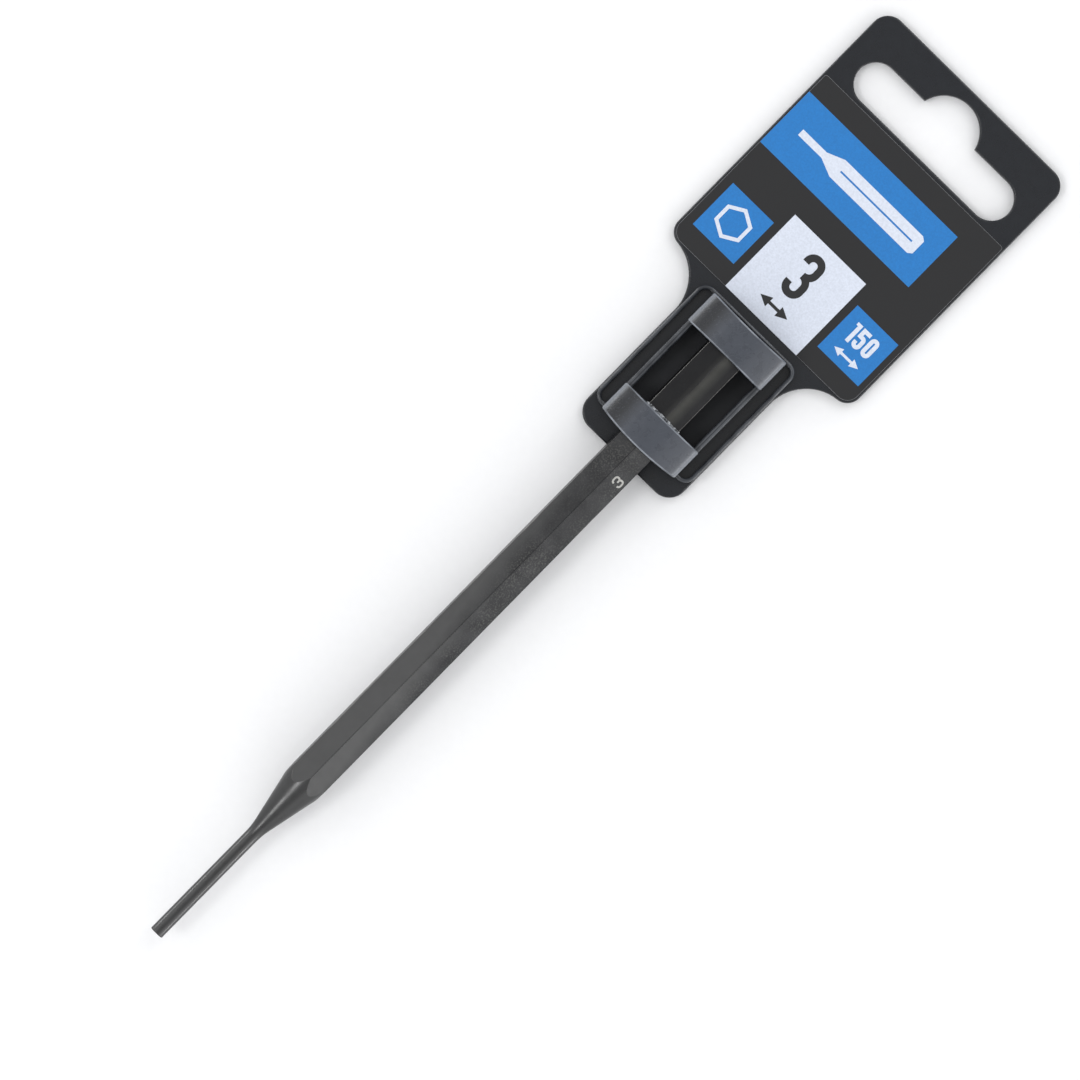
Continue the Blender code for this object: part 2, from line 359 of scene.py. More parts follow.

# %% [markdown]
# ## The steel
#
# The bar is chrome-vanadium steel with a black oxide finish: the steel is boiled in a hot salt bath
# until its own surface turns to black magnetite. The layer is thin and slightly glossy, and it copies
# what lies under it. The drawn flats are smooth and paler near the taper, and get blotches and specks
# of scale towards the head, along a border that runs aslant. Under the sleeve they are painted darker,
# as the shade that falls there, less so in a band beside the ridge. The turned head is the palest part.
#
# So a finish here needs tones, sizes of grain in millimetres and places on the bar. The grain and the
# drawn lines of the real oxide are finer than a pixel, and are as coarse here as they need to show.

# %% Tones and places on the steel
OXIDE_DARK, OXIDE_PALE = "#323233", "#3E3E3F"
TAPER_TONE, TAPER_SHARE = "#525252", 0.8
SCALE_MARK = "#5E5E5B"
# Painted shade: under the sleeve the flats are painted darker, and a band beside the ridge less dark.
SLEEVE_PAINTED_SHADE, SLEEVE_SHADE_BAND, SLEEVE_SHADE_SHARE = "#242425", "#3B3B39", 0.9
BARE_STEEL = "#A5A39F"
HEAD_TONE = "#80807D"
CLOUD = 5.0
SCALE_GRAIN, SCALE_PATCH = 0.32, 7.0
GRIT = 0.20
DRAWN_LINE = (0.10, 7.0, 0.10)
LATHE_LINE = (60.0, 0.16, 60.0)
WEAR, WEAR_STARTS, WEAR_FULL = (3.0, 11.0, 3.0), 0.62, 0.72
GLOSS_FALL, GLOSS_RISE = 0.05, 0.06
GRIT_RELIEF = {"Strength": 0.08, "Distance": 0.00002}
LINE_RELIEF = {"Strength": 0.25, "Distance": 0.00002}
SMOOTH_UNTIL, ROUGH_FROM, SLANT = along(0.066), along(0.094), 8
HEAD_FROM, HEAD_UNTIL = along(0.1480), along(0.1484)
SLEEVE_FROM, SLEEVE_UNTIL = along(0.1240), along(0.1310)
SLEEVE_BAND_LINE, SLEEVE_BAND_NARROW, SLEEVE_BAND_WIDE = 0.0011, 0.0001, 0.0017
FLANK_FROM, FLANK_UNTIL = 0.0015, 0.0030
print(f"the scale sets in over {(ROUGH_FROM - SMOOTH_UNTIL) * 1000:.0f} mm of the bar")

# %% [markdown]
# One function makes four surfaces of this steel, which differ in their lines and in what is rubbed.
# The drawn flats have long fine lines and scale. The pin, the cone and the head have the feed of the
# lathe, lines that run round. The long corners are rubbed pale in places, more so under the sleeve,
# but only those at the bar's two sides: the top and the bottom one keep their oxide. The edges of the
# head are rubbed all along.

# %% Blackened steel
def steel(name, line, roughness, scale=0.0, worn=0.0, flanks=0.0, turned=False):
    """Blackened steel. Line is the size of a drawn or turned line. Scale, worn and flanks are shares."""
    made, tree, shader, place = new_finish(name, {"Metallic": 1})
    across, station, height = add_node(tree, "SeparateXYZ", [place]).outputs
    aslant = add_node(tree, "VectorMath", (place, (SLANT, 1, 0)), operation="DOT_PRODUCT")
    smooth = add_node(tree, "MapRange", (aslant, ROUGH_FROM, SMOOTH_UNTIL))
    covered = add_node(tree, "MapRange", (station, SLEEVE_FROM, SLEEVE_UNTIL))
    cloud = patches(tree, place, CLOUD, detail=4, count=(0.32, 0.68))
    coats = [(OXIDE_PALE, cloud), (TAPER_TONE, smooth, TAPER_SHARE)]
    if scale:
        rough = add_node(tree, "Math", (1, smooth), operation="SUBTRACT")
        where = patches(tree, place, SCALE_PATCH, count=(0.40, 0.62), give=(0.3, 1))
        marks = patches(tree, place, SCALE_GRAIN, detail=4, count=(0.48, 0.66), give=(0, scale))
        aside = add_node(tree, "Math", (across, SLEEVE_BAND_LINE), operation="SUBTRACT")
        aside = add_node(tree, "Math", [aside], operation="ABSOLUTE")
        band = add_node(tree, "MapRange", (aside, SLEEVE_BAND_WIDE, SLEEVE_BAND_NARROW))
        above = add_node(tree, "MapRange", (height, AXIS_Z, AXIS_Z + BAR_RADIUS / 2))
        # The scale marks, then painted shade where the sleeve covers the flats, less dark in a band
        # beside the ridge.
        coats += [(SCALE_MARK, marks, where, rough), (SLEEVE_PAINTED_SHADE, covered, SLEEVE_SHADE_SHARE)]
        coats += [(SLEEVE_SHADE_BAND, covered, SLEEVE_SHADE_SHARE, band, above)]
    if worn:
        count = (WEAR_STARTS - worn / 4, WEAR_FULL - worn / 4)
        rub = patches(tree, place, WEAR, detail=3, count=count, give=(0, worn))
        only_at = []
        if flanks:
            rubbed = add_node(tree, "Math", (covered, flanks), operation="MULTIPLY")
            rub = add_node(tree, "Math", (rub, rubbed), operation="MAXIMUM")
            aside = add_node(tree, "Math", [across], operation="ABSOLUTE")
            only_at = [add_node(tree, "MapRange", (aside, FLANK_FROM, FLANK_UNTIL))]
        coats.append((BARE_STEEL, rub, *only_at))
    if turned:
        coats.append((HEAD_TONE, add_node(tree, "MapRange", (station, HEAD_FROM, HEAD_UNTIL))))

    tone = coloured(tree, OXIDE_DARK, *coats)
    spread = (roughness - GLOSS_FALL, roughness + GLOSS_RISE)
    gloss = patches(tree, place, CLOUD / 3, detail=5, count=(0.3, 0.7), give=spread)
    relief = add_node(tree, "Bump", {**GRIT_RELIEF, "Height": patches(tree, place, GRIT)})
    lines = patches(tree, place, line, detail=3)
    relief = add_node(tree, "Bump", {**LINE_RELIEF, "Height": lines, "Normal": relief})
    set_sockets(tree, shader, {"Base Color": tone, "Roughness": gloss, "Normal": relief})
    return made


STEEL_SLOTS = (
    steel("black_oxide_drawn_steel", DRAWN_LINE, 0.40, scale=0.4),
    steel("black_oxide_rubbed_corner", DRAWN_LINE, 0.38, worn=0.3, flanks=0.25),
    steel("black_oxide_turned_steel", LATHE_LINE, 0.31, turned=True),
    steel("black_oxide_rubbed_edge", LATHE_LINE, 0.36, worn=0.95),
)
CORNER_SLOT, TURNED_SLOT, EDGE_SLOT = 1, 2, 3
print("steel:", [surface.name for surface in STEEL_SLOTS])

# %% [markdown]
# ## The punch, first its bar
#
# The real punch starts as a length of drawn hexagonal bar, and so does the model: a cylinder with six
# sides, a little too long at both ends. Drawing leaves the long corners slightly round. A bevel does
# that, and puts its new faces in the slot of the rubbed corners.

# %% Draw the bar
SPARE = 0.001
BAR_EDGE = 0.00012

middle_y = (punch_low.y + punch_high.y) / 2
bpy.ops.mesh.primitive_cylinder_add(
    vertices=6,
    radius=BAR_RADIUS,
    depth=PUNCH_LENGTH + 2 * SPARE,
    location=(0, middle_y, AXIS_Z),
    rotation=(-math.pi / 2, BAR_LEAN, 0),
)
punch = new_piece("pin_punch")
give_slots(punch, STEEL_SLOTS)
found = round_edges(lambda edge: runs(edge, 1), BAR_EDGE, 3, material=CORNER_SLOT)
leave_edit_mode()
print("bar:", found, "long corners rounded,", triangles(punch), "triangles")

# %% [markdown]
# ## The punch, then its turned ends
#
# The lathe takes away all that stands outside the shape of the pin, the cone, the head's chamfer and
# its crown. That shape is a round solid, made from a disc that is extruded and resized from ring to
# ring. Where two surfaces of it meet, a few rings on an arc round the corner. The bar and the round
# solid are then intersected, which leaves the curved ends of the flats that every such punch has.

# %% A lathe
LATHE_SIDES = 144


def lathe(name, profile):
    """A round solid on the punch's axis, from its stations and radii."""
    station, radius = profile[0]
    place = (0, along(station), AXIS_Z)
    bpy.ops.mesh.primitive_circle_add(
        vertices=LATHE_SIDES,
        radius=radius,
        fill_type="NGON",
        location=place,
        rotation=(math.pi / 2, 0, 0),
    )
    piece = new_piece(name)
    select("FACE")
    for next_station, next_radius in profile[1:]:
        extrude(0, next_station - station, 0)
        share = next_radius / radius
        centre = (0, along(next_station), AXIS_Z)
        bpy.ops.transform.resize(value=(share, 1, share), center_override=centre)
        station, radius = next_station, next_radius
    select("FACE")
    bpy.ops.mesh.normals_make_consistent(inside=False)
    leave_edit_mode()
    return piece


def fillet(corner, before, after, reach, rings=5):
    """Rings on a smooth curve from a little before a corner of the profile to a little after it."""
    corner, before, after = Vector(corner), Vector(before), Vector(after)
    start = corner + (before - corner).normalized() * reach
    end = corner + (after - corner).normalized() * reach
    shares = [i / rings for i in range(rings + 1)]
    return [tuple(start * (1 - t) ** 2 + corner * 2 * t * (1 - t) + end * t**2) for t in shares]


# %% [markdown]
# The profile goes from the end of the pin along the cone, which runs out a little wider than the bar,
# and then from the chamfer of the head over its crown, a flat arc that is cut into rings.

# %% Turn the ends
PIN_RADIUS = 0.00135
PIN_LENGTH = 0.026
PIN_EDGE = 0.00022
PIN_ROOT = 0.0016
CONE_LENGTH = 0.014
HEAD_CHAMFER = 0.00114
CROWN_RISE = 0.0005
CROWN_RINGS = 8
LATHE_RUN = 0.0008

widest = BAR_RADIUS + LATHE_RUN
slope = (BAR_RADIUS - PIN_RADIUS) / CONE_LENGTH
face = BAR_RADIUS - HEAD_CHAMFER
shoulder = PUNCH_LENGTH - CROWN_RISE
crown = (face**2 + CROWN_RISE**2) / (2 * CROWN_RISE)

pin_end, pin_corner = (0, PIN_RADIUS / 2), (0, PIN_RADIUS)
pin_root = (PIN_LENGTH, PIN_RADIUS)
cone_end = (PIN_LENGTH + (widest - PIN_RADIUS) / slope, widest)
profile = [pin_end] + fillet(pin_corner, pin_end, pin_root, PIN_EDGE)
profile += fillet(pin_root, pin_corner, cone_end, PIN_ROOT)
profile += [cone_end, (shoulder - LATHE_RUN - HEAD_CHAMFER, widest)]
for ring in range(CROWN_RINGS, 0, -1):
    radius = face * ring / CROWN_RINGS
    profile.append((PUNCH_LENGTH - crown + math.sqrt(crown**2 - radius**2), radius))
envelope = lathe("envelope", profile)
give_slots(envelope, [STEEL_SLOTS[TURNED_SLOT]])
combine(punch, "INTERSECT", envelope, material_mode="TRANSFER")
print("turned:", len(profile), "rings,", triangles(punch), "triangles")

# %% [markdown]
# The edges between drawn and turned faces are sharp on the model and never quite sharp on the real
# punch. They are found by their two faces, which have unlike materials, and get a bevel of a few
# hundredths of a millimetre. At the cone its faces go to the slot of the long corners, and at the
# head, which rubs on hammer and sleeve, to that of the rubbed edges. Smooth shading by angle and a
# weighted normal modifier then keep the flats flat and let the round parts flow.

# %% Break the edges and shade
SEAM_EDGE = 0.00004
SMOOTH_ANGLE = math.radians(32)

select("VERT")
bpy.ops.mesh.remove_doubles(threshold=NEAR)


def is_seam(edge):
    slots = {face.material_index for face in edge.link_faces}
    return len(slots) == 2 and TURNED_SLOT in slots


def seam_at_cone(edge):
    return is_seam(edge) and middle(edge).y < middle_y


def seam_at_head(edge):
    return is_seam(edge) and middle(edge).y > middle_y


found = round_edges(seam_at_cone, SEAM_EDGE, 2, material=CORNER_SLOT, clamp_overlap=True)
print("seam edges broken at the cone:", found)
found = round_edges(seam_at_head, SEAM_EDGE, 2, material=EDGE_SLOT, clamp_overlap=True)
print("seam edges broken at the head:", found)
leave_edit_mode()
bpy.ops.object.shade_smooth_by_angle(angle=SMOOTH_ANGLE)
modify(punch, "WEIGHTED_NORMAL", keep_sharp=True)
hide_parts("punch")
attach(punch, "punch")
print("punch:", triangles(punch), "triangles")

# %% [markdown]
# ## Numerals
#
# The bar carries its nominal size, burnt in by a laser, and the label carries the size and the length.
# Nothing else is written on this object. The numerals are drawn as with a broad pen: a strip starts as
# a plane, its end edge is extruded along the straight runs, and spun round the bends. Where two strips
# meet, they share their corners, so that merging these makes one shape of them.

# %% A broad pen
UPWARDS, BACKWARDS, ONWARDS = math.pi / 2, math.pi, 0.0
BEND_STEPS = 14


def pen(x, y, heading, width, steps):
    """Draws a flat strip. A step is a straight length, or the radius and the degrees of a right bend."""
    tip = Vector((x, y, 0))
    ahead = Vector((math.cos(heading), math.sin(heading), 0))
    half_way = tip + ahead * steps[0] / 2
    bpy.ops.mesh.primitive_plane_add(size=1, location=half_way, rotation=(0, 0, heading))
    strip = new_piece("strip", (steps[0], width, 1))
    tip += ahead * steps[0]
    select("EDGE", lambda edge: (middle(edge) - tip).length < NEAR)
    for step in steps[1:]:
        if isinstance(step, tuple):
            radius, angle = step[0], math.radians(step[1])
            centre = tip + Vector((ahead.y, -ahead.x, 0)) * radius
            bpy.ops.mesh.spin(steps=BEND_STEPS, angle=angle, center=centre, axis=(0, 0, 1))
            turn = Matrix.Rotation(-angle, 3, "Z")
            tip, ahead = centre + turn @ (tip - centre), turn @ ahead
        else:
            extrude(*ahead * step)
            tip += ahead * step
    leave_edit_mode()
    return strip


# %% [markdown]
# Only four figures are needed, and each is drawn round the origin, from half its width and half its
# height between the middles of its strokes. Bends, flags and hooks are shares of the stroke's width.
# A figure 3 needs only its upper half, which is cut off at the waist and mirrored.

# %% Four figures
ONE_FLAG = 0.8
FIVE_WAIST, FIVE_BEND, FIVE_HOOK = 0.1, 0.66, 0.5
THREE_CORNER, THREE_CROWDED, THREE_START = 0.97, 0.45, 0.85
THREE_BEND, THREE_REACH = 1.2, 1.2


def draw_0(side, top, stroke):
    """Once round, from the middle of its left side."""
    straight = top - side
    return [pen(-side, 0, UPWARDS, stroke, [straight, (side, 180), 2 * straight, (side, 180), straight])]


def draw_1(side, top, stroke):
    """A stem with a thinner flag at its top."""
    flag, half = ONE_FLAG * stroke, top + stroke / 2
    stem = pen(side, -half, UPWARDS, stroke, [2 * half - flag, flag])
    return [stem, pen(side - stroke / 2, half - flag / 2, BACKWARDS, flag, [2 * side])]


def draw_5(side, top, stroke):
    """A stem, a roof, and a bowl that starts at the foot of the stem."""
    waist, bend = FIVE_WAIST * (2 * top + stroke), FIVE_BEND * stroke
    stem = pen(-side, waist - stroke / 2, UPWARDS, stroke, [stroke, top - waist - stroke, stroke])
    roof = pen(-side + stroke / 2, top, ONWARDS, stroke, [2 * side])
    bowl = [2 * side - stroke / 2 - bend, (bend, 90), top - side + waist - bend]
    bowl += [(side, 180), FIVE_HOOK * stroke]
    return [stem, roof, pen(-side + stroke / 2, waist, ONWARDS, stroke, bowl)]


def draw_3(side, top, stroke):
    """Two corners and a tighter bend into the waist, mirrored."""
    corner, bend = min(THREE_CORNER * side, THREE_CROWDED * top), THREE_BEND * stroke
    start = THREE_START * (top - corner)
    steps = [top - corner - start, (corner, 90), 2 * (side - corner), (corner, 90)]
    steps += [top - corner - bend, (bend, 90), THREE_REACH * side - bend]
    three = pen(-side, start, UPWARDS, stroke, steps)
    select("FACE")
    bpy.ops.mesh.bisect(plane_co=(0, 0, 0), plane_no=(0, 1, 0), clear_inner=True)
    leave_edit_mode()
    modify(three, "MIRROR", use_axis=(False, True, False), merge_threshold=NEAR)
    return [three]


# %% [markdown]
# In a number the figures stand side by side, and a 1 is narrower than the others. Whatever is printed
# or burnt in ends the same way. Its flat shapes are joined and merged, they get the thickness of a
# layer of ink, and a matrix lays them in place. Its columns are the direction in which the print
# reads, the direction of its top and the normal of the surface.

# %% Helpers for prints
FIGURES = {"0": draw_0, "1": draw_1, "3": draw_3, "5": draw_5}
WIDTH_OF_1 = 0.62
FIGURE_GAP = 0.5
INK = 0.00002


def number(digits, width, height, stroke):
    """The strips of a whole number, centred on the origin."""
    gap = FIGURE_GAP * stroke
    shares = [WIDTH_OF_1 if digit == "1" else 1.0 for digit in digits]
    unit = (width - gap * (len(digits) - 1)) / sum(shares)
    strips = []
    left = -width / 2
    for digit, share in zip(digits, shares):
        for strip in FIGURES[digit]((unit * share - stroke) / 2, (height - stroke) / 2, stroke):
            strip.data.transform(Matrix.Translation((left + unit * share / 2, 0, 0)))
            strips.append(strip)
        left += unit * share + gap
    return strips


def laid(origin, line, up):
    """The matrix of a place, from the direction a print reads in and the direction of its top."""
    normal = Vector(line).cross(Vector(up))
    return Matrix.Translation(origin) @ Matrix((line, up, normal)).transposed().to_4x4()


def inked(shapes, name, ink, matrix, body):
    """Joins flat shapes, gives them the thickness of ink and lays them in their place."""
    bpy.ops.object.select_all(action="DESELECT")
    for shape in shapes:
        shape.select_set(True)
    bpy.context.view_layer.objects.active = shapes[0]
    if len(shapes) > 1:
        bpy.ops.object.join()
    piece = bpy.context.object
    piece.name = name
    select("FACE")
    bpy.ops.mesh.remove_doubles(threshold=NEAR)
    bpy.ops.mesh.normals_make_consistent(inside=False)
    leave_edit_mode()
    modify(piece, "SOLIDIFY", thickness=INK, offset=0)
    piece.data.transform(matrix)
    give_slots(piece, [ink])
    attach(piece, body)
    print(name, "has", triangles(piece), "triangles")
    return piece


# %% [markdown]
# The laser turns the black oxide into a pale grey, slightly rough mark, burnt in close lines that are
# drawn as coarse as they need to show. It sits on the flat to the right of the ridge, just below the
# hanger, and reads towards the head.

# %% Mark the size on the bar
MARK_STATION, MARK_ASIDE = 0.1171, 0.00034
MARK_WIDTH, MARK_HEIGHT, MARK_STROKE = 0.00170, 0.00245, 0.00037
MARK_RAISED = 0.000012
LASER_PALE, LASER_DARK = "#C2C1BD", "#93928E"
LASER_LINE = (2.0, 0.12, 2.0)

mark_grey, tree, shader, place = new_finish("laser_marked_steel", {"Metallic": 0.3, "Roughness": 0.62})
hatched = coloured(tree, LASER_PALE, (LASER_DARK, patches(tree, place, LASER_LINE)))
set_sockets(tree, shader, {"Base Color": hatched})

flat_lean = BAR_LEAN + HALF_A_FLAT
outward = Vector((math.sin(flat_lean), 0, math.cos(flat_lean)))
to_ridge = Vector((-math.cos(flat_lean), 0, math.sin(flat_lean)))
spot = Vector((0, along(MARK_STATION), AXIS_Z)) + outward * (BAR_FLAT + MARK_RAISED)
spot -= to_ridge * MARK_ASIDE
mark = number("3", MARK_WIDTH, MARK_HEIGHT, MARK_STROKE)
inked(mark, "size_mark", mark_grey, laid(spot, (0, 1, 0), to_ridge), "punch")

# %% [markdown]
# ## The hanger's plastic
#
# The hanger is black polypropylene, injection moulded. It is a cool black with a soft sheen, very
# finely textured by the spark-eroded mould. The bridges stand proud, so they are rubbed and scratched
# in the box and in the shop. Their tops are painted a paler blue-grey, partly for the polish of the
# rubbing and partly as a painted sheen of the lamps, and their left side stays dark as painted shade.
# Their shoulders get a painted highlight, and the upper edges of the moulding are rubbed palest.
#
# Masks on height and on the distance from the middle find these places, and noise breaks them up.
# Long scratches run over them at an angle. The moulding has three such surfaces: its skin, its rubbed
# edges, and the rougher inside of the sleeve. The real texture is finer than a pixel, and is as coarse
# here as it needs to show.

# %% Moulded polypropylene
PLASTIC, PLASTIC_PALE = "#090C13", "#10141B"
# Painted light on the hanger: the proud tops are paler partly from rubbing and partly as painted sheen,
# their left side keeps painted shade, and the bridges' shoulders get a painted highlight.
SHEEN_AND_RUB_PLASTIC = "#40444C"
SCRATCHED, EDGE_WEAR_AND_HIGHLIGHT = "#585C64", "#8E939B"
SHEEN_AND_RUB_STARTS, SHEEN_AND_RUB_FULL = 0.0078, 0.0095
LEFT_SHADE_STARTS, LEFT_SHADE_FULL = -0.0060, -0.0036
PROUD_LOW, PROUD_HIGH = 0.0073, 0.0083
LOW_EDGE_SHARE = 0.22
EDGE_PATCH = 3.5
SHOULDER_HIGHLIGHT_STARTS, SHOULDER_HIGHLIGHT_FULL, SHOULDER_HIGHLIGHT_SHARE = 0.0081, 0.0092, 0.8
ERODED = 0.12
SCUFF = 1.8
SCRATCH = (0.10, 3.5, 0.10)
SCRATCH_TURN = 0.6
SHEEN_SPREAD = 0.05
ERODED_RELIEF = {"Strength": 0.25, "Distance": 0.00002}
SCRATCH_RELIEF = {"Strength": 0.15, "Distance": 0.00003}


def polypropylene(name, roughness, edge=0.0):
    """Moulded polypropylene. Edge is the share by which an edge is rubbed pale."""
    made, tree, shader, place = new_finish(name, {"IOR": 1.49})
    across, _, height = add_node(tree, "SeparateXYZ", [place]).outputs
    turned = add_node(tree, "Mapping", {"Vector": place, "Rotation": (0, 0, SCRATCH_TURN)})
    scratches = patches(tree, turned, SCRATCH, detail=1, count=(0.66, 0.80))
    cloud = patches(tree, place, SCUFF, detail=5)
    patchy = patches(tree, place, SCUFF, detail=5, count=(0.30, 0.55), give=(0.8, 1))
    high = add_node(tree, "MapRange", (height, SHEEN_AND_RUB_STARTS, SHEEN_AND_RUB_FULL))
    not_left = add_node(tree, "MapRange", (across, LEFT_SHADE_STARTS, LEFT_SHADE_FULL))

    # A painted highlight on the bridges' shoulders, and the real wear of rubbed edges, share one pale
    # coat.
    proud = add_node(tree, "MapRange", (height, PROUD_LOW, PROUD_HIGH))
    aside = add_node(tree, "Math", [across], operation="ABSOLUTE")
    outer = add_node(tree, "MapRange", (aside, SHOULDER_HIGHLIGHT_STARTS, SHOULDER_HIGHLIGHT_FULL, 0, SHOULDER_HIGHLIGHT_SHARE))
    pale = add_node(tree, "Math", (outer, proud), operation="MULTIPLY")
    if edge:
        worn = patches(tree, place, EDGE_PATCH, detail=4, count=(0.38, 0.6), give=(edge / 3, edge))
        share = add_node(tree, "MapRange", (proud, 0, 1, LOW_EDGE_SHARE, 1))
        worn = add_node(tree, "Math", (worn, share), operation="MULTIPLY")
        pale = add_node(tree, "Math", (pale, worn), operation="MAXIMUM")

    # The proud tops are painted paler, partly rubbing and partly painted sheen, except at the left side,
    # which keeps painted shade.
    coats = [(PLASTIC_PALE, cloud), (SHEEN_AND_RUB_PLASTIC, high, patchy, not_left)]
    tone = coloured(tree, PLASTIC, *coats, (SCRATCHED, high, scratches), (EDGE_WEAR_AND_HIGHLIGHT, pale))
    spread = (roughness - SHEEN_SPREAD, roughness + SHEEN_SPREAD)
    gloss = patches(tree, place, SCUFF, detail=4, give=spread)
    relief = add_node(tree, "Bump", {**ERODED_RELIEF, "Height": patches(tree, place, ERODED)})
    relief = add_node(tree, "Bump", {**SCRATCH_RELIEF, "Height": scratches, "Normal": relief})
    set_sockets(tree, shader, {"Base Color": tone, "Roughness": gloss, "Normal": relief})
    return made


PLASTIC_SLOTS = (
    polypropylene("moulded_polypropylene", 0.28),
    polypropylene("rubbed_polypropylene_edge", 0.24, edge=0.8),
    polypropylene("eroded_polypropylene_inside", 0.60),
)
RUBBED_SLOT, INSIDE_SLOT = 1, 2
print("plastic:", [surface.name for surface in PLASTIC_SLOTS])

# %% [markdown]
# ## The hanger's plate
#
# Seen from above the moulding is a narrow foot that flares out to a wide plate. Three steps draw it:
# a plane for the foot, whose end edge is extruded once to the full width and once to the far end. The
# step between the two widths slopes a little, by just the angle at which the flare's round and the
# round of the plate's lower corner run into each other. The corners are then rounded by a bevel that
# acts on vertices. It starts at the distance from the corner where an arc of that radius touches.

# %% Outline of the plate
FOOT_HALF = 0.01225
PLATE_HALF = hanger_high.x
PLATE_TOP = 0.0020
FLARE_STATION = 0.1470
FLARE_RADIUS = 0.0090
LOWER_CORNER = 0.0030
UPPER_CORNER = 0.0035
FOOT_CORNER = 0.00375
OUTLINE_STEPS = 14

step_out = PLATE_HALF - FOOT_HALF
shoulder_slope = math.asin(1 - step_out / (FLARE_RADIUS + LOWER_CORNER))
reach = math.tan((math.pi / 2 - shoulder_slope) / 2)
inner_y = along(FLARE_STATION) + FLARE_RADIUS * reach
outer_y = inner_y + step_out * math.tan(shoulder_slope)

bpy.ops.mesh.primitive_plane_add(size=1, location=(0, (hanger_low.y + inner_y) / 2, PLATE_TOP))
hanger = new_piece("hanger_moulding", (2 * FOOT_HALF, inner_y - hanger_low.y, 1))
give_slots(hanger, PLASTIC_SLOTS)


def extrude_end(rise, widen):
    """Extrudes the outline's far edge, then widens it."""
    far = max(vertex.co.y for vertex in hanger.data.vertices)
    select("EDGE", lambda edge: middle(edge).y > far - NEAR)
    extrude(0, rise, 0)
    bpy.ops.transform.resize(value=(widen, 1, 1), center_override=(0, far + rise, PLATE_TOP))
    leave_edit_mode()


extrude_end(outer_y - inner_y, PLATE_HALF / FOOT_HALF)
extrude_end(hanger_high.y - outer_y, 1)
select("EDGE", lambda edge: not edge.is_boundary)
bpy.ops.mesh.dissolve_edges(use_verts=False)
corners = (
    (hanger_low.y, FOOT_CORNER),
    (inner_y, FLARE_RADIUS * reach),
    (outer_y, LOWER_CORNER * reach),
    (hanger_high.y, UPPER_CORNER),
)
for y, offset in corners:
    select("VERT", lambda vertex: abs(vertex.co.y - y) < NEAR)
    bpy.ops.mesh.bevel(offset=offset, segments=OUTLINE_STEPS, affect="VERTICES")
leave_edit_mode()
print("outline:", len(hanger.data.vertices), "corners, slope", round(math.degrees(shoulder_slope), 1))

# %% [markdown]
# The outline is given its thickness by an extrusion, and the hanging slot is cut through it: a long
# slot with round ends for a display rail, and a round bump in its middle that seats a single peg. All
# its edges are then rounded, as the edges of a moulding are.

# %% Thickness, slot and edges
SLOT_LENGTH, SLOT_HEIGHT = 0.0377, 0.0082
SLOT_DROP = 0.01145
PEG_RADIUS, PEG_RISE = 0.0065, 0.00265
CUT = 3 * PLATE_TOP
ROUND_SIDES = 96
PLATE_EDGE = 0.00035
STEEP = math.radians(60)
# Each corner of the slot is rounded by a hair less than half its height, so that two never meet.
HAIR = 0.00001

select("FACE")
extrude(0, 0, -PLATE_TOP)
select("FACE")
bpy.ops.mesh.normals_make_consistent(inside=False)
leave_edit_mode()

slot_y = hanger_high.y - SLOT_DROP
bpy.ops.mesh.primitive_cube_add(size=1, location=(0, slot_y, PLATE_TOP / 2))
slot = new_piece("slot", (SLOT_LENGTH, SLOT_HEIGHT, CUT))
round_edges(lambda edge: runs(edge, 2), SLOT_HEIGHT / 2 - HAIR, 2 * OUTLINE_STEPS)
leave_edit_mode()
bpy.ops.mesh.primitive_cylinder_add(
    vertices=ROUND_SIDES, radius=PEG_RADIUS, depth=CUT, location=(0, slot_y + PEG_RISE, PLATE_TOP / 2)
)
peg_seat = new_piece("peg_seat")
for cutter in (slot, peg_seat):
    combine(hanger, "DIFFERENCE", cutter)


def is_rim(edge):
    return len(edge.link_faces) == 2 and edge.calc_face_angle() > STEEP and not runs(edge, 2)


found = round_edges(is_rim, PLATE_EDGE, 3)
leave_edit_mode()
print("plate:", found, "edges rounded,", triangles(hanger), "triangles")

# %% [markdown]
# ## The tray and the rails
#
# On the foot stands a low rim, a rounded rectangle like the edge of a tray. It is a block whose
# upright corners are beveled, whose top is inset by the rim's wall and then pushed back down to the
# plate. Inside it, a rail runs along each side of the shank from one bridge to the other. The rails
# start as boxes that reach into the plate and the bridges, so that nothing ends face to face.

# %% Tray and rails
RIM_HALF, RIM_WALL, RIM_TOP = 0.0120, 0.0008, 0.0046
RIM_STATIONS = (0.1251, 0.1546)
RIM_CORNER = 0.0023
RIM_ROUND = 0.00039
TRAY_FLOOR = PLATE_TOP + 0.00003
SUNK = PLATE_TOP / 2
RAIL_HALF, RAIL_WALL = 0.0091, 0.00125
RAIL_TOP = 0.0073
RAIL_STATIONS = (0.1290, 0.1490)
RAIL_ROUND = 0.00058


def block(name, x_range, stations, z_range, slots=PLASTIC_SLOTS):
    """A box between two places on X, two stations and two heights."""
    (left, right), (start, end), (low, high) = x_range, stations, z_range
    centre = ((left + right) / 2, (along(start) + along(end)) / 2, (low + high) / 2)
    bpy.ops.mesh.primitive_cube_add(size=1, location=centre)
    made = new_piece(name, (right - left, end - start, high - low))
    give_slots(made, slots)
    return made


def on_rim_top(edge):
    return at_height(edge, RIM_TOP) and edge.calc_face_angle() > STEEP


def on_rail_top(edge):
    return at_height(edge, RAIL_TOP) and runs(edge, 1)


tray = block("tray", (-RIM_HALF, RIM_HALF), RIM_STATIONS, (SUNK, RIM_TOP))
round_edges(lambda edge: runs(edge, 2), RIM_CORNER, 10)
select("FACE", faces_up)
bpy.ops.mesh.inset(thickness=RIM_WALL)
extrude(0, 0, TRAY_FLOOR - RIM_TOP)
round_edges(on_rim_top, RIM_ROUND, 4, material=RUBBED_SLOT)
leave_edit_mode()

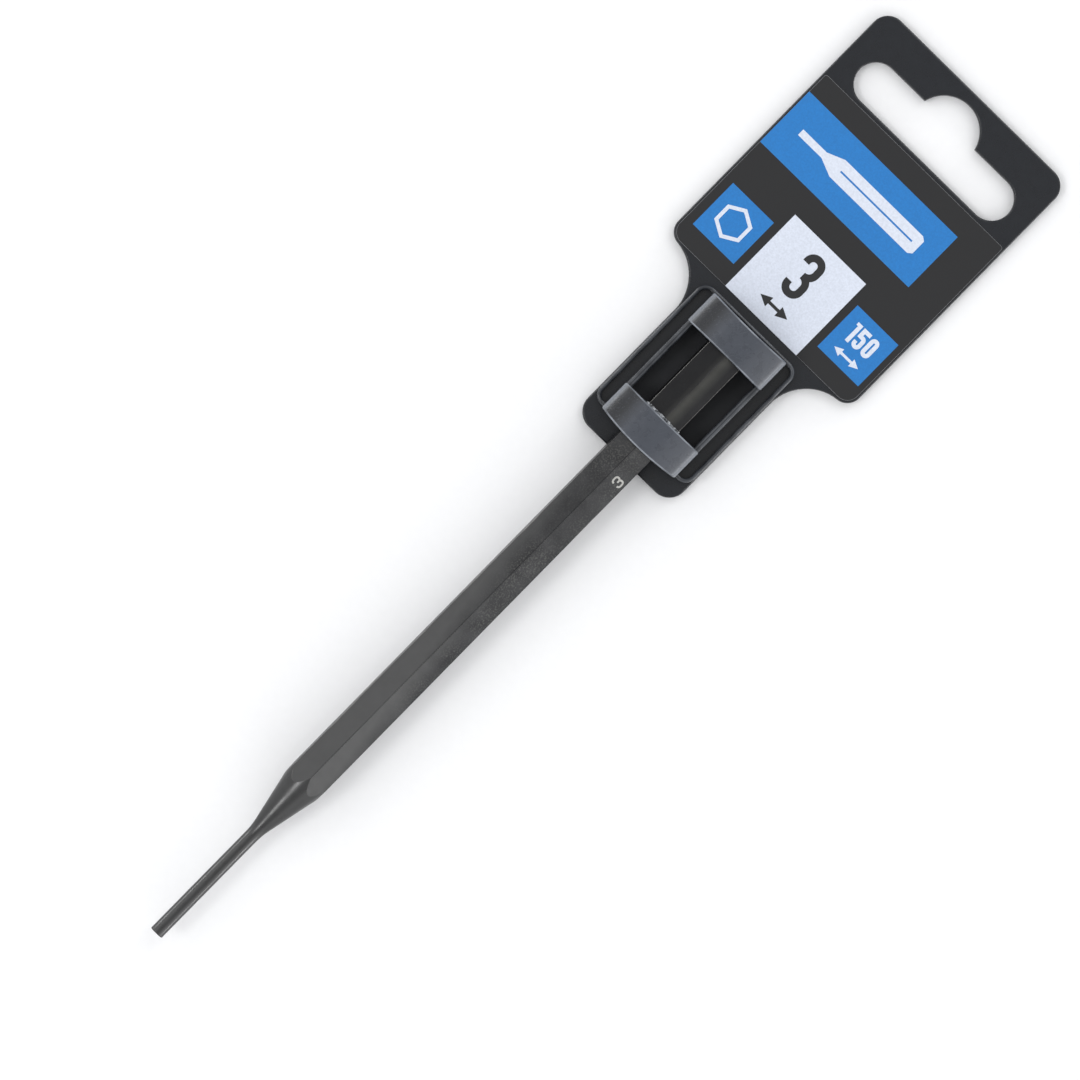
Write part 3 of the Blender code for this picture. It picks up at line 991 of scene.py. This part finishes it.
rails = []
for side in (-1, 1):
    walls = sorted((side * RAIL_HALF, side * (RAIL_HALF - RAIL_WALL)))
    rail = block("rail", walls, RAIL_STATIONS, (SUNK, RAIL_TOP))
    round_edges(on_rail_top, RAIL_ROUND, 4, material=RUBBED_SLOT)
    leave_edit_mode()
    rails.append(rail)
print("tray:", triangles(tray), "triangles, rails:", [triangles(rail) for rail in rails])

# %% [markdown]
# ## The bridges
#
# Two broad bridges hold the bar down on the foot. Each is an arch with upright sides, and both its
# ends bow a little towards the pin. A box is cut across into many columns, and the corners of each
# column are then pushed up by the arch and along by the bow. Its shoulders get a wide round and its
# end edges a small one.

# %% Arch the bridges
SLEEVE_HALF = 0.0092
ARCH_FALL = 0.0035
ARCH_FOOT = hanger_high.z - ARCH_FALL
COLUMNS = 28
BRIDGE_SHOULDER = 0.0008
BRIDGE_ROUND = 0.00028
SHARP = math.radians(50)
# A bridge has the station of each of its two ends, and the depth of its bow there.
LOWER_BRIDGE = ((0.1248, 0.0008), (0.1312, 0.0002))
UPPER_BRIDGE = ((0.1470, 0.0), (0.1540, 0.0004))

arch_radius = (SLEEVE_HALF**2 + ARCH_FALL**2) / (2 * ARCH_FALL)


def arch_height(x):
    """How high the arch stands over its ends at a place on X."""
    return math.sqrt(arch_radius**2 - x**2) - math.sqrt(arch_radius**2 - SLEEVE_HALF**2)


def at_shoulder(edge):
    return runs(edge, 1) and at_height(edge, ARCH_FOOT) and abs(middle(edge).x) > SLEEVE_HALF - NEAR


def is_sharp(edge):
    return middle(edge).z > PLATE_TOP and edge.calc_face_angle() > SHARP


def bridge(lower_end, upper_end):
    """An arched block between two stations, each with the depth of its bow."""
    stations = (lower_end[0], upper_end[0])
    made = block("bridge", (-SLEEVE_HALF, SLEEVE_HALF), stations, (SUNK, ARCH_FOOT))
    select("EDGE", lambda edge: runs(edge, 0))
    bpy.ops.mesh.subdivide(number_cuts=COLUMNS - 1)
    for column in range(1, COLUMNS):
        x = SLEEVE_HALF * (2 * column / COLUMNS - 1)
        bow = 1 - (x / SLEEVE_HALF) ** 2
        select("VERT", lambda v: abs(v.co.x - x) < NEAR and v.co.z > ARCH_FOOT - NEAR)
        bpy.ops.transform.translate(value=(0, 0, arch_height(x)))
        for station, depth in (lower_end, upper_end):
            select("VERT", lambda v: abs(v.co.x - x) < NEAR and abs(v.co.y - along(station)) < NEAR)
            bpy.ops.transform.translate(value=(0, -bow * depth, 0))
    round_edges(at_shoulder, BRIDGE_SHOULDER, 6)
    round_edges(is_sharp, BRIDGE_ROUND, 3, material=RUBBED_SLOT)
    leave_edit_mode()
    return made


bridges = [bridge(*LOWER_BRIDGE), bridge(*UPPER_BRIDGE)]
print("bridges:", [triangles(made) for made in bridges], "triangles")

# %% [markdown]
# ## One moulding
#
# Plate, tray, rails and bridges are one shot of plastic, so they are joined into one closed solid by
# unions. The bore for the shank is cut last, from the foot's edge to the wall behind the head. What
# lies between the rails and under the bridges then gets the rougher inside surface.

# %% Join the hanger and bore it
BORE_RADIUS = 0.004688
STOP_STATION = 0.1503
MOULDED_ANGLE = math.radians(35)

for part in (tray, *rails, *bridges):
    combine(hanger, "UNION", part)
bore_start = hanger_low.y - SPARE
bore_end = along(STOP_STATION)
bpy.ops.mesh.primitive_cylinder_add(
    vertices=ROUND_SIDES,
    radius=BORE_RADIUS,
    depth=bore_end - bore_start,
    location=(0, (bore_start + bore_end) / 2, AXIS_Z),
    rotation=(math.pi / 2, 0, 0),
)
combine(hanger, "DIFFERENCE", new_piece("bore"))


def is_inside(face):
    """True for the faces between the rails and under the bridges."""
    centre = face.calc_center_median()
    in_sleeve = along(LOWER_BRIDGE[0][0]) < centre.y < along(UPPER_BRIDGE[1][0])
    between_rails = abs(centre.x) < RAIL_HALF - RAIL_WALL + NEAR
    return in_sleeve and between_rails and SUNK < centre.z < RAIL_TOP - RAIL_ROUND


found = select("FACE", is_inside)
hanger.active_material_index = INSIDE_SLOT
bpy.ops.object.material_slot_assign()
leave_edit_mode()
bpy.ops.object.shade_smooth_by_angle(angle=MOULDED_ANGLE)
modify(hanger, "WEIGHTED_NORMAL", keep_sharp=True)
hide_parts("hanger")
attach(hanger, "hanger")
print("hanger:", triangles(hanger), "triangles,", found, "faces inside")

# %% [markdown]
# The bar's sharp corners shave the mouth of the sleeve when it is pushed in, and a pale ragged shaving
# still hangs over the bar at the lower bridge. It is an arc of a circle that is extruded to a narrow
# ribbon. Random offsets tear its free edge, and a modifier gives it a thickness.

# %% Shave the sleeve's mouth
SHAVING_RADIUS = 0.00478
SHAVING_STATION = 0.1309
SHAVING_LENGTH = 0.0005
SHAVING_HALF = 0.0041
SHAVING_THICKNESS = 0.00008
SHAVING_SIDES = 160
TORN = 0.00016
SHAVED_DARK, SHAVED_PALE = "#2E3136", "#B4B7BC"
SHAVED_SPECK = 0.6

shaved, tree, shader, place = new_finish("shaved_polypropylene", {"IOR": 1.49, "Roughness": 0.5})
specks = patches(tree, place, SHAVED_SPECK, count=(0.40, 0.60))
set_sockets(tree, shader, {"Base Color": coloured(tree, SHAVED_DARK, (SHAVED_PALE, specks))})

bpy.ops.mesh.primitive_circle_add(
    vertices=SHAVING_SIDES,
    radius=SHAVING_RADIUS,
    fill_type="NOTHING",
    location=(0, along(SHAVING_STATION), AXIS_Z),
    rotation=(math.pi / 2, 0, 0),
)
shaving = new_piece("sleeve_shaving")
select("VERT", lambda vertex: vertex.co.z < AXIS_Z or abs(vertex.co.x) > SHAVING_HALF)
bpy.ops.mesh.delete(type="VERT")
bpy.ops.mesh.select_all(action="SELECT")
extrude(0, SHAVING_LENGTH, 0)
bpy.ops.transform.vertex_random(offset=TORN, seed=4)
leave_edit_mode()
modify(shaving, "SOLIDIFY", thickness=SHAVING_THICKNESS, offset=0)
give_slots(shaving, [shaved])
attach(shaving, "hanger")
print("shaving:", triangles(shaving), "triangles")

# %% [markdown]
# ## The label's film and inks
#
# The label is printed polypropylene film with a matt varnish, stuck on the plate, and its cut edge
# shows the pale core of the film. The inks are flat colours under the varnish, so film and inks share
# one recipe: an even colour with a trace of paper grain in it, a soft gloss, and the faint waviness of
# a thin film.

# %% Film and inks
FILM_GREY = "#08080C"
INK_BLUE, INK_WHITE, INK_BLACK = "#0E70B8", "#D0D6E3", "#151517"
FILM_CORE = "#7C7D80"
VARNISH = 0.52
PRINT_GRAIN = 0.35
FILM_WAVE = 9.0
WAVE_RELIEF = {"Strength": 0.1, "Distance": 0.0002}


def printed(name, colour):
    """A flat colour printed on film under a matt varnish."""
    made, tree, shader, place = new_finish(name, {"IOR": 1.5, "Roughness": VARNISH})
    grain = patches(tree, place, PRINT_GRAIN, count=(0.3, 0.7), give=(0.93, 1.07))
    shade = add_node(tree, "HueSaturation", {"Value": grain, "Color": colour})
    wave = add_node(tree, "Bump", {**WAVE_RELIEF, "Height": patches(tree, place, FILM_WAVE, detail=1)})
    set_sockets(tree, shader, {"Base Color": shade, "Normal": wave})
    return made


white_ink = printed("white_ink_on_film", INK_WHITE)
black_ink = printed("black_ink_on_film", INK_BLACK)
LABEL_SLOTS = (
    printed("matt_varnished_film", FILM_GREY),
    printed("blue_ink_on_film", INK_BLUE),
    white_ink,
    printed("cut_edge_of_film", FILM_CORE),
)
BLUE_SLOT, WHITE_SLOT, CUT_SLOT = 1, 2, 3
print("print:", [surface.name for surface in (*LABEL_SLOTS, black_ink)])

# %% [markdown]
# ## The label
#
# The film is a thin box with its upright corners rounded, the lower two to follow the plate's. Its
# printed fields are not laid on it: the film itself is cut along their edges by bisecting planes, and
# the faces inside a field take the ink's slot. So a field can't lift off or flicker.

# %% Print the film
FILM_LOWER_CORNER, FILM_UPPER_CORNER = 0.0025, 0.0005
FILM_EDGE = 0.00005
WIDE_FIELD = ((film_low.x, 0.0153), (0.1796, 0.1924))
LEFT_FIELD = ((-0.0208, -0.0104), (0.1603, 0.1708))
SIZE_FIELD = ((-0.0087, 0.0094), (0.1563, 0.1746))
RIGHT_FIELD = ((0.0110, 0.0214), (0.1603, 0.1708))

sides, heights = (film_low.x, film_high.x), (film_low.z, film_high.z)
stations = (film_low.y - punch_low.y, film_high.y - punch_low.y)
label = block("label_film", sides, stations, heights, LABEL_SLOTS)
for y, radius in ((film_low.y, FILM_LOWER_CORNER), (film_high.y, FILM_UPPER_CORNER)):
    round_edges(lambda edge: runs(edge, 2) and abs(middle(edge).y - y) < NEAR, radius, 8)
round_edges(lambda edge: at_height(edge, film_high.z), FILM_EDGE, 2, material=CUT_SLOT)


def print_field(field, slot):
    """Cuts the film along a field's edges and gives the faces inside it an ink."""
    (left, right), (low, high) = field[0], [along(station) for station in field[1]]
    for normal, places in (((1, 0, 0), (left, right)), ((0, 1, 0), (low, high))):
        for place in places:
            bpy.ops.mesh.select_all(action="SELECT")
            bpy.ops.mesh.bisect(plane_co=Vector(normal) * place, plane_no=normal)

    def inside(face):
        centre = face.calc_center_median()
        return faces_up(face) and left < centre.x < right and low < centre.y < high

    select("FACE", inside)
    label.active_material_index = slot
    bpy.ops.object.material_slot_assign()


for field in (WIDE_FIELD, LEFT_FIELD, RIGHT_FIELD):
    print_field(field, BLUE_SLOT)
print_field(SIZE_FIELD, WHITE_SLOT)
leave_edit_mode()
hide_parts("label")
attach(label, "hanger")
print("label:", len(label.data.polygons), "faces in", len(label.data.materials), "inks")

# %% [markdown]
# ## What is printed in the fields
#
# The white field gives the size of the pin and the right one the length, both as plain numbers over
# a dimension line, the line between two arrowheads that drawings use. An arrowhead is a circle of
# three sides, cut along the edges of the line, so that the two share their corners.

# %% Numbers on the label
INK_RAISED = 0.000012
# A number has its width, height and stroke, and a line its length, its arrows' size and its width.
SIZE_PLACE, SIZE_NUMBER = (0.0003, 0.1676), (0.0044, 0.0095, 0.00142)
SIZE_LINE_PLACE, SIZE_LINE = (0.0003, 0.1599), (0.0068, 0.0022, 0.0006)
LENGTH_PLACE, LENGTH_NUMBER = (0.0162, 0.1667), (0.0058, 0.0041, 0.00078)
LENGTH_LINE_PLACE, LENGTH_LINE = (0.0162, 0.1625), (0.0060, 0.0017, 0.0005)


def print_on_label(shapes, name, ink, x, station):
    """Prints flat shapes on the film, centred on a place."""
    spot = (x, along(station), film_high.z + INK_RAISED)
    return inked(shapes, name, ink, laid(spot, (1, 0, 0), (0, 1, 0)), "hanger")


def dimension_line(length, arrow, line):
    """A line with an arrowhead at each end, centred on the origin."""
    base = length / 2 - arrow
    shapes = [pen(-base, 0, ONWARDS, line, [2 * base])]
    for side in (-1, 1):
        place, turn = (side * (base + arrow / 3), 0, 0), (0, 0, -side * math.pi / 2)
        bpy.ops.mesh.primitive_circle_add(
            vertices=3, radius=2 / 3, fill_type="NGON", location=place, rotation=turn
        )
        shapes.append(new_piece("arrowhead", (arrow * math.sqrt(3) / 2, arrow, 1)))
        for y in (-line / 2, line / 2):
            select("FACE")
            bpy.ops.mesh.bisect(plane_co=(0, y, 0), plane_no=(0, 1, 0))
        leave_edit_mode()
    return shapes


print_on_label(number("3", *SIZE_NUMBER), "label_size", black_ink, *SIZE_PLACE)
print_on_label(number("150", *LENGTH_NUMBER), "label_length", white_ink, *LENGTH_PLACE)
print_on_label(dimension_line(*SIZE_LINE), "label_size_line", black_ink, *SIZE_LINE_PLACE)
print_on_label(dimension_line(*LENGTH_LINE), "label_length_line", white_ink, *LENGTH_LINE_PLACE)

# %% [markdown]
# The wide field shows the punch from its side. This picture is one strip that starts as wide as the
# pin. Its end is extruded and widened at the cone and narrowed at the chamfer of the head, and a thin
# box cuts the line of the ridge out of it. The left field shows the end of the bar, a hexagon: a
# circle of six sides, whose face is inset and deleted, so that a frame is left.

# %% Pictures on the label
PICTURE_PLACE = (-0.0035, 0.1860)
PICTURE_PIN, PICTURE_BAR, PICTURE_FACE = 0.0007, 0.0021, 0.0015
PICTURE_STATIONS = (-0.0150, -0.0090, -0.0056, 0.0142, 0.0150)
RIDGE_LINE = (0.0182, 0.00035)
HEXAGON_PLACE = (-0.0156, 0.16555)
HEXAGON_RADIUS, HEXAGON_FRAME = 0.0036, 0.0007

pin_start, pin_stop, bar_start, bar_stop, head_stop = PICTURE_STATIONS
picture = pen(pin_start, 0, ONWARDS, 2 * PICTURE_PIN, [pin_stop - pin_start])
x, half = pin_stop, PICTURE_PIN
for next_x, next_half in ((bar_start, PICTURE_BAR), (bar_stop, PICTURE_BAR), (head_stop, PICTURE_FACE)):
    select("EDGE", lambda edge: abs(middle(edge).x - x) < NEAR)
    extrude(next_x - x, 0, 0)
    bpy.ops.transform.resize(value=(1, next_half / half, 1), center_override=(next_x, 0, 0))
    x, half = next_x, next_half
leave_edit_mode()
picture = print_on_label([picture], "label_picture", white_ink, *PICTURE_PLACE)
ridge_x = PICTURE_PLACE[0] + (bar_start + bar_stop) / 2
bpy.ops.mesh.primitive_cube_add(size=1, location=(ridge_x, along(PICTURE_PLACE[1]), film_high.z))
combine(picture, "DIFFERENCE", new_piece("ridge_line", (*RIDGE_LINE, 10 * INK)))

bpy.ops.mesh.primitive_circle_add(vertices=6, radius=HEXAGON_RADIUS, fill_type="NGON")
hexagon = new_piece("hexagon")
select("FACE")
bpy.ops.mesh.inset(thickness=HEXAGON_FRAME)
bpy.ops.mesh.delete(type="FACE")
leave_edit_mode()
print_on_label([hexagon], "label_hexagon", white_ink, *HEXAGON_PLACE)
